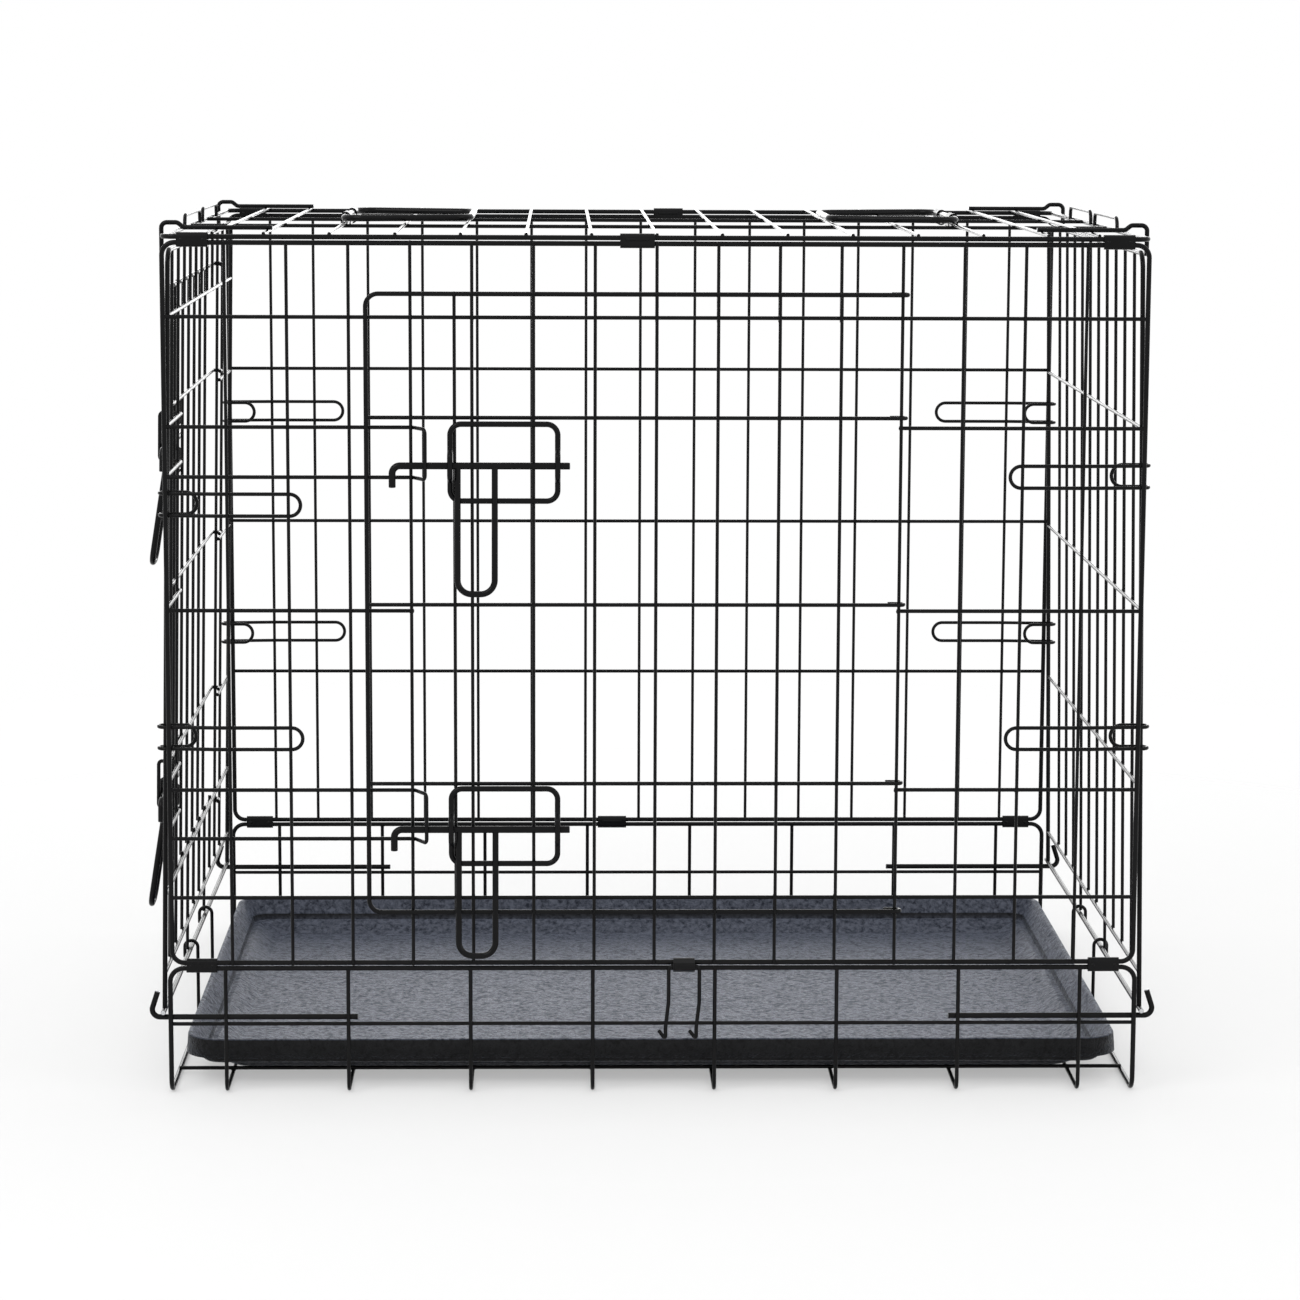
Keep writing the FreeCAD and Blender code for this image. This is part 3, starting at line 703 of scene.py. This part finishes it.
@dataclass
class WeldBeads:
    """The small squeezed beads where crossing wires are welded, one mesh for each panel or door."""

    wiring: Wiring
    radius: float = 0.00165
    depth: float = 0.00095
    sunk: float = 0.00115
    rail_drop: float = 0.0012
    floor_rise: float = 0.00275
    uneven: float = 0.2
    subdivisions: int = 2

    def _front(self) -> Iterator[tuple[Vector, Vector]]:
        """Gives the front panel's crossings.

        Yields:
            Each crossing and the way out.
        """
        w = self.wiring
        out = Vector((0.0, -1.0, 0.0))
        for u, z in w.doorway(w.front_places(), w.front_post, w.low, w.high):
            yield Vector((u, -w.half_depth - self.sunk, z)), out

    def _rear(self) -> Iterator[tuple[Vector, Vector]]:
        """Gives the rear panel's crossings.

        Yields:
            Each crossing and the way out.
        """
        w = self.wiring
        heights = [w.low, w.high, *(w.low + k * w.rear_step for k in range(1, w.rear_cross + 1))]
        for u in w.rear_places():
            for z in heights:
                yield Vector((u, w.half_depth + self.sunk, z)), Vector((0.0, 1.0, 0.0))

    def _top(self) -> Iterator[tuple[Vector, Vector]]:
        """Gives the top panel's crossings.

        Yields:
            Each crossing and the way out.
        """
        w = self.wiring
        for u in w.rear_places():
            for v in (-w.half_depth, *w.top_cross, w.half_depth):
                yield Vector((u, v, w.top + self.sunk)), Vector((0.0, 0.0, 1.0))

    def _base(self) -> Iterator[tuple[Vector, Vector]]:
        """Gives the base's crossings.

        Yields:
            Each crossing and the way out.
        """
        w = self.wiring
        down = Vector((0.0, 0.0, -1.0))
        for u in w.base_places():
            for side in (-1, 1):
                inward = Vector((0.0, -side, 0.0))
                yield Vector((u, side * (w.half_depth - self.sunk), w.base_mid)), inward
                yield Vector((u, side * w.half_depth, w.base_rail - self.rail_drop)), down
                for v in w.floor_cross:
                    yield Vector((u, side * v, self.floor_rise)), Vector((0.0, 0.0, 1.0))

    def _end(self, side: int) -> Iterator[tuple[Vector, Vector]]:
        """Gives an end panel's crossings and the way out of the mesh.

        Args:
            side: -1 for the left end and 1 for the right end.

        Yields:
            Each crossing and the way out.
        """
        w = self.wiring
        lean = w.lean(side)
        out = lean.to_3x3() @ Vector((side, 0.0, 0.0))
        if side < 0:
            crossings = w.doorway(w.end_places(), w.end_door_post, w.end_low, w.end_top)
        else:
            crossings = ((v, z) for v in w.end_places() for z in (w.end_low, *w.levels, w.end_top))
        for v, z in crossings:
            yield lean @ Vector((side * (w.end_x + self.sunk), v, z)), out

    def _doors(self, at_front: bool) -> Iterator[tuple[Vector, Vector]]:
        """Gives a door's crossings and the way out of its mesh.

        Args:
            at_front: Whether it is the front door rather than the left one.

        Yields:
            Each crossing and the way out.
        """
        w = self.wiring
        if at_front:
            for u, z in w.door(w.front_places(), w.front_post):
                yield Vector((u, -w.half_depth - w.door_out - self.sunk, z)), Vector((0.0, -1.0, 0.0))
        else:
            lean = w.lean(-1)
            out = lean.to_3x3() @ Vector((-1.0, 0.0, 0.0))
            for v, z in w.door(w.end_places(), w.end_door_post):
                yield lean @ Vector((-w.end_x - w.door_out - self.sunk, v, z)), out

    def _bead(self, shape: bmesh.types.BMesh, at: Vector, out: Vector, chance: random.Random) -> None:
        """Adds one bead, a little different from the next.

        Args:
            shape: The mesh it is added to.
            at: Where the wires touch.
            out: The way out of the mesh of wires.
            chance: Where its differences come from.
        """
        wide = self.radius * (1.0 + chance.uniform(-self.uneven, self.uneven))
        tall = self.radius * (1.0 + chance.uniform(-self.uneven, self.uneven))
        turn = out.to_track_quat("Z", "Y").to_matrix().to_4x4()
        twist = Matrix.Rotation(chance.uniform(0.0, math.pi), 4, "Z")
        size = Matrix.Diagonal((wide, tall, self.depth, 1.0))
        bmesh.ops.create_icosphere(shape, subdivisions=self.subdivisions, radius=1.0,
                                   matrix=Matrix.Translation(at) @ turn @ twist @ size)

    def build(self, finishes: Finishes) -> list[bpy.types.Object]:
        """Models the beads of every panel and door.

        Args:
            finishes: The crate's materials.

        Returns:
            One piece for each panel or door.
        """
        places = {
            "front_panel_welds": (Body.CAGE, self._front()),
            "rear_panel_welds": (Body.CAGE, self._rear()),
            "top_panel_welds": (Body.CAGE, self._top()),
            "base_panel_welds": (Body.CAGE, self._base()),
            "left_end_welds": (Body.LEFT_END, self._end(-1)),
            "right_end_welds": (Body.RIGHT_END, self._end(1)),
            "front_door_welds": (Body.FRONT_DOOR, self._doors(True)),
            "left_door_welds": (Body.LEFT_DOOR, self._doors(False)),
        }
        pieces = []
        for seed, (name, (body, crossings)) in enumerate(places.items()):
            chance = random.Random(seed)
            shape = bmesh.new()
            for at, out in crossings:
                self._bead(shape, at, out, chance)
            pieces.append(mesh_piece(name, shape, body, Slot.WIRE, finishes))
        return pieces


@dataclass
class CutEnds:
    """The sheared ends of the heavier rods, with a worn edge where the coat is thin.

    The profile gives the reach, the height and the wear of a cap's points, from its foot to its middle.
    """

    wiring: Wiring
    proud: float = 0.0006
    hook_rod: float = 0.0018
    hook_at: tuple[float, float] = (0.3232, 0.23698)
    hook_tip: float = 0.0672
    hook_lean: float = 18.0
    hook_inner: tuple[float, float] = (0.1932, 0.0505)
    rail_rod: float = 0.0016
    top_hook_rod: float = 0.0015
    top_hook_at: Point = (0.246, 0.205, 0.56125)
    top_hook_foot: tuple[float, float] = (0.3166, 0.54525)
    bolt_rod: float = 0.00225
    bolt_out: float = 0.0107
    bolt_tip: tuple[float, float] = (-0.0116, 0.0135)
    bolt_end: float = 0.101
    profile: tuple[Point, ...] = (
        (1.0, -0.4, 0.0), (1.0, 0.05, 0.0), (0.93, 0.6, 0.35), (0.8, 0.85, 1.0), (0.0, 1.0, 1.0))
    facets: int = 16
    merge: float = 1e-6

    def _cap(self, shape: bmesh.types.BMesh, at: Vector, way: Vector, radius: float) -> None:
        """Adds one domed end to a rod.

        Args:
            shape: The mesh it is added to.
            at: The middle of the rod's flat end.
            way: The way the rod points.
            radius: The rod's radius.
        """
        worn = shape.verts.layers.float.get(BARE) or shape.verts.layers.float.new(BARE)
        side = way.orthogonal().normalized()
        points = [shape.verts.new(at + side * (radius * out) + way * (self.proud * up))
                  for out, up, _ in self.profile]
        for vert, (_, _, bare) in zip(points, self.profile):
            vert[worn] = bare
        line = [shape.edges.new(pair) for pair in zip(points, points[1:])]
        bmesh.ops.spin(shape, geom=points + line, cent=at, axis=way, angle=math.tau, steps=self.facets,
                       use_merge=True)

    def _ends(self) -> Iterator[tuple[Body, Slot, Vector, Vector, float]]:
        """Gives the cut ends of all the rods.

        Yields:
            Each end's body, slot, place, direction and radius.
        """
        w = self.wiring
        back, rise = math.sin(math.radians(self.hook_lean)), math.cos(math.radians(self.hook_lean))
        for sx in (-1, 1):
            end = Body.LEFT_END if sx < 0 else Body.RIGHT_END
            for sy in (-1, 1):
                hook = Vector((sx * self.hook_at[0], sy * self.hook_at[1], self.hook_tip))
                yield Body.CAGE, Slot.WIRE, hook, Vector((-sx * back, 0.0, rise)), self.hook_rod
                inner = Vector((sx * self.hook_inner[0], sy * self.hook_at[1], self.hook_inner[1]))
                yield Body.CAGE, Slot.WIRE, inner, Vector((-sx, 0.0, 0.0)), self.hook_rod
                rail = Vector((sx * w.end_x, sy * w.rail_half, w.rail))
                yield end, Slot.WIRE, rail, Vector((0.0, sy, 0.0)), self.rail_rod
                start = Vector((sx * self.top_hook_at[0], sy * self.top_hook_at[1], self.top_hook_at[2]))
                yield Body.CAGE, Slot.WIRE, start, Vector((-sx, 0.0, 0.0)), self.top_hook_rod
                foot = Vector((sx * self.top_hook_foot[0], sy * self.top_hook_at[1], self.top_hook_foot[1]))
                yield Body.CAGE, Slot.WIRE, foot, Vector((0.0, 0.0, -1.0)), self.top_hook_rod
        front = -w.half_depth - self.bolt_out
        left = -w.end_x - self.bolt_out
        lean = w.lean(-1)
        bails = ((Body.FRONT_UPPER_BAIL, Body.LEFT_UPPER_BAIL), (Body.FRONT_LOWER_BAIL, Body.LEFT_LOWER_BAIL))
        shanks = ((Body.FRONT_UPPER_SHANK, Body.LEFT_UPPER_SHANK),
                  (Body.FRONT_LOWER_SHANK, Body.LEFT_LOWER_SHANK))
        for z, bail, shank in zip(w.bolts, bails, shanks):
            tip, low = self.bolt_tip[0], z - self.bolt_tip[1]
            down = Vector((0.0, 0.0, -1.0))
            yield bail[0], Slot.LATCH, Vector((tip - w.front_post, front, low)), down, self.bolt_rod
            at = lean @ Vector((left, tip - w.end_door_post, low))
            yield bail[1], Slot.LATCH, at, lean.to_3x3() @ down, self.bolt_rod
            end = Vector((self.bolt_end - w.front_post, front, z))
            yield shank[0], Slot.LATCH, end, Vector((1.0, 0.0, 0.0)), self.bolt_rod
            at = lean @ Vector((left, self.bolt_end - w.end_door_post, z))
            yield shank[1], Slot.LATCH, at, Vector((0.0, 1.0, 0.0)), self.bolt_rod

    def build(self, finishes: Finishes) -> list[bpy.types.Object]:
        """Models the cut ends, one mesh for each body.

        Args:
            finishes: The crate's materials.

        Returns:
            The pieces.
        """
        shapes: dict[tuple[Body, Slot], bmesh.types.BMesh] = {}
        for body, slot, at, way, radius in self._ends():
            if (body, slot) not in shapes:
                shapes[body, slot] = bmesh.new()
            self._cap(shapes[body, slot], at, way, radius)
        pieces = []
        for (body, slot), shape in shapes.items():
            bmesh.ops.remove_doubles(shape, verts=list(shape.verts), dist=self.merge)
            bmesh.ops.recalc_face_normals(shape, faces=list(shape.faces))
            pieces.append(mesh_piece(body.value + "_cut_ends", shape, body, slot, finishes))
        return pieces


@dataclass
class ClipDetails:
    """The folded lips and punched dimples of the sheet clips along the long edges.

    The profile gives the reach and the height of a dimple's points, from its foot to its middle.
    """

    wiring: Wiring
    face: float = 0.0028
    lip: Point = (0.0150, 0.0012, 0.0016)
    lip_rise: float = 0.0009
    lip_edge: float = 0.0005
    lip_segments: int = 3
    dimple: float = 0.0011
    dimple_height: float = 0.0005
    dimple_at: float = 0.0070
    profile: tuple[tuple[float, float], ...] = (
        (1.25, -0.3), (1.1, 0.12), (0.85, 0.5), (0.5, 0.85), (0.0, 1.0))
    facets: int = 14
    corner_x: float = 0.2937
    top_z: float = 0.55495
    fold_z: float = 0.08545
    front_middle: float = -0.0124
    rear_middle: float = 0.020725

    def _lip(self, shape: bmesh.types.BMesh, at: Vector) -> None:
        """Adds one folded lip.

        Args:
            shape: The mesh it is added to.
            at: The middle of the lip.
        """
        before = set(shape.edges)
        size = Matrix.Diagonal((*self.lip, 1.0))
        bmesh.ops.create_cube(shape, size=1.0, matrix=Matrix.Translation(at) @ size)
        fresh = [edge for edge in shape.edges if edge not in before]
        bmesh.ops.bevel(shape, geom=fresh, offset=self.lip_edge, segments=self.lip_segments, profile=ROUND,
                        affect="EDGES", material=-1)

    def _dimple(self, shape: bmesh.types.BMesh, at: Vector, side: int) -> None:
        """Adds one punched dimple.

        Args:
            shape: The mesh it is added to.
            at: The middle of its foot.
            side: -1 where it faces the front and 1 where it faces the rear.
        """
        way = Vector((0.0, side, 0.0))
        reach = Vector((self.dimple, 0.0, 0.0))
        points = [shape.verts.new(at + reach * out + way * (self.dimple_height * up))
                  for out, up in self.profile]
        line = [shape.edges.new(pair) for pair in zip(points, points[1:])]
        bmesh.ops.spin(shape, geom=points + line, cent=at, axis=way, angle=math.tau, steps=self.facets,
                       use_merge=True)

    def build(self, finishes: Finishes) -> list[bpy.types.Object]:
        """Models the lips and dimples of all the edge clips.

        Args:
            finishes: The crate's materials.

        Returns:
            One piece for the top clips and one for the fold clips.
        """
        pieces = []
        depth = self.wiring.half_depth
        for name, z, middles in (("top_clip_details", self.top_z, (self.front_middle, self.rear_middle)),
                                 ("fold_clip_details", self.fold_z, (None, -self.rear_middle))):
            shape = bmesh.new()
            for side, middle in zip((-1, 1), middles):
                for facing in (-1, 1):
                    y = side * depth + facing * self.face
                    for x in (-self.corner_x, self.corner_x):
                        for offset in (-self.dimple_at, self.dimple_at):
                            self._dimple(shape, Vector((x + offset, y, z)), facing)
                    if middle is not None:
                        self._lip(shape, Vector((middle, y, z + self.lip_rise)))
            bmesh.ops.recalc_face_normals(shape, faces=list(shape.faces))
            pieces.append(mesh_piece(name, shape, Body.CAGE, Slot.CLIP, finishes))
        return pieces


@dataclass(frozen=True)
class PhotoCamera:
    """The camera at the photograph's place, found from the wires' vanishing lines."""

    place: Point = (-0.06209, -2.63755, 0.65520)
    yaw: float = 0.02447
    pitch: float = -0.14990
    roll: float = 0.00416
    focal: float = 3769.2
    picture: float = 1300.0
    sensor: float = 36.0
    clip: tuple[float, float] = (0.05, 60.0)

    def build(self) -> bpy.types.Object:
        """Makes the camera and sets it as the scene's.

        Returns:
            The camera.
        """
        ahead = Vector((math.sin(self.yaw) * math.cos(self.pitch), math.cos(self.yaw) * math.cos(self.pitch),
                        math.sin(self.pitch)))
        level = Vector((math.cos(self.yaw), -math.sin(self.yaw), 0.0))
        upright = level.cross(ahead)
        right = level * math.cos(self.roll) + upright * math.sin(self.roll)
        up = upright * math.cos(self.roll) - level * math.sin(self.roll)
        data = bpy.data.cameras.new("photo_camera")
        data.sensor_fit = "HORIZONTAL"
        data.sensor_width = self.sensor
        data.lens = self.focal * self.sensor / self.picture
        data.clip_start, data.clip_end = self.clip
        camera = bpy.data.objects.new("photo_camera", data)
        turn = Matrix((right, up, -ahead)).transposed().to_4x4()
        camera.matrix_world = Matrix.Translation(self.place) @ turn
        bpy.context.scene.collection.objects.link(camera)
        bpy.context.scene.camera = camera
        return camera


@dataclass(frozen=True)
class Lamp:
    """A soft lamp that the eye doesn't see: its place, its target, its width and height, and its watts."""

    name: str
    place: Point
    target: Point
    size: tuple[float, float]
    power: float

    def build(self) -> bpy.types.Object:
        """Makes the lamp.

        Returns:
            The lamp.
        """
        data = bpy.data.lights.new(self.name, "AREA")
        data.shape = "RECTANGLE"
        data.size, data.size_y = self.size
        data.energy = self.power
        lamp = bpy.data.objects.new(self.name, data)
        lamp.visible_camera = False
        way = Vector(self.target) - Vector(self.place)
        turn = way.to_track_quat("-Z", "Y").to_matrix().to_4x4()
        lamp.matrix_world = Matrix.Translation(self.place) @ turn
        bpy.context.scene.collection.objects.link(lamp)
        return lamp


@dataclass
class Studio:
    """A pale floor, a white surround and soft lamps."""

    floor_size: float = 3.2
    floor_colour: Colour = (0.92, 0.92, 0.92)
    floor_fade: tuple[float, float] = (0.45, 1.5)
    floor_cover: float = 0.6
    bright: Point = (0.0, 0.55, 0.83)
    surround: tuple[float, float] = (0.22, 1.05)
    surround_span: tuple[float, float] = (-0.6, 0.9)
    lamps: tuple[Lamp, ...] = (
        Lamp("key", (-1.6, -1.9, 2.4), (0.0, 0.0, 0.25), (1.6, 1.6), 26.0),
        Lamp("fill", (2.2, -1.6, 1.5), (0.0, 0.0, 0.25), (1.4, 1.4), 9.0),
        Lamp("back", (0.0, 2.6, 0.75), (0.0, 0.0, 0.6), (2.4, 0.9), 18.0),
    )

    def build(self) -> None:
        """Makes the floor, the surround and the lamps."""
        bpy.context.scene.view_settings.view_transform = "Standard"
        self._floor()
        self._surround()
        for lamp in self.lamps:
            lamp.build()

    def _floor(self) -> None:
        """Makes the pale floor, which keeps the crate's shadow."""
        shape = bmesh.new()
        bmesh.ops.create_grid(shape, x_segments=1, y_segments=1, size=self.floor_size / 2)
        floor = link_mesh("floor", shape)
        made, sheet = blank_material("pale_floor")
        place = sheet.add("ShaderNodeTexCoord").outputs["Object"]
        reach = sheet.add("ShaderNodeVectorMath", {"operation": "LENGTH"}, Vector=place)
        fade = sheet.spread(reach.outputs["Value"], self.floor_cover, 0.0, *self.floor_fade)
        matt = sheet.add("ShaderNodeBsdfPrincipled", Base_Color=(*self.floor_colour, 1.0), Roughness=1.0,
                         Alpha=fade)
        matt.inputs["Specular IOR Level"].default_value = 0.0
        sheet.add("ShaderNodeOutputMaterial", Surface=matt.outputs["BSDF"])
        floor.data.materials.append(made)

    def _surround(self) -> None:
        """Lights softly from all round, and shows white to the eye and in reflections."""
        world = bpy.data.worlds.new("white_surround")
        world.use_nodes = True
        world.node_tree.nodes.clear()
        sheet = Sheet(world.node_tree)
        path = sheet.add("ShaderNodeLightPath").outputs
        seen = path["Is Camera Ray"]
        for kind in ("Is Glossy Ray", "Is Transmission Ray"):
            either = sheet.add("ShaderNodeMath", {"operation": "MAXIMUM"})
            for socket, value in zip(either.inputs, (seen, path[kind])):
                sheet.fill(socket, value)
            seen = either.outputs["Value"]
        way = sheet.add("ShaderNodeTexCoord").outputs["Generated"]
        lean = sheet.add("ShaderNodeVectorMath", {"operation": "DOT_PRODUCT"})
        for socket, value in zip(lean.inputs, (way, self.bright)):
            sheet.fill(socket, value)
        glow = sheet.spread(lean.outputs["Value"], *self.surround, *self.surround_span)
        strength = sheet.add("ShaderNodeMix", Factor=seen, A=glow, B=1.0).outputs["Result"]
        sky = sheet.add("ShaderNodeBackground", Color=(1.0, 1.0, 1.0, 1.0), Strength=strength)
        sheet.add("ShaderNodeOutputWorld", Surface=sky.outputs["Background"])
        bpy.context.scene.world = world


def main() -> None:
    """Builds the crate's looks, the studio and the camera."""
    logging.basicConfig(level=logging.INFO, format="%(name)s: %(message)s")
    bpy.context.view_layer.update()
    finishes = Finishes()
    finishes.dress_solids()
    tray = Tray().build(finishes)
    wiring = Wiring()
    pieces = [tray, *WeldBeads(wiring).build(finishes), *CutEnds(wiring).build(finishes),
              *ClipDetails(wiring).build(finishes)]
    for piece in pieces:
        LOG.info("%s: %d faces", piece.name, len(piece.data.polygons))
    Studio().build()
    PhotoCamera().build()


if __name__ == "__main__":
    main()
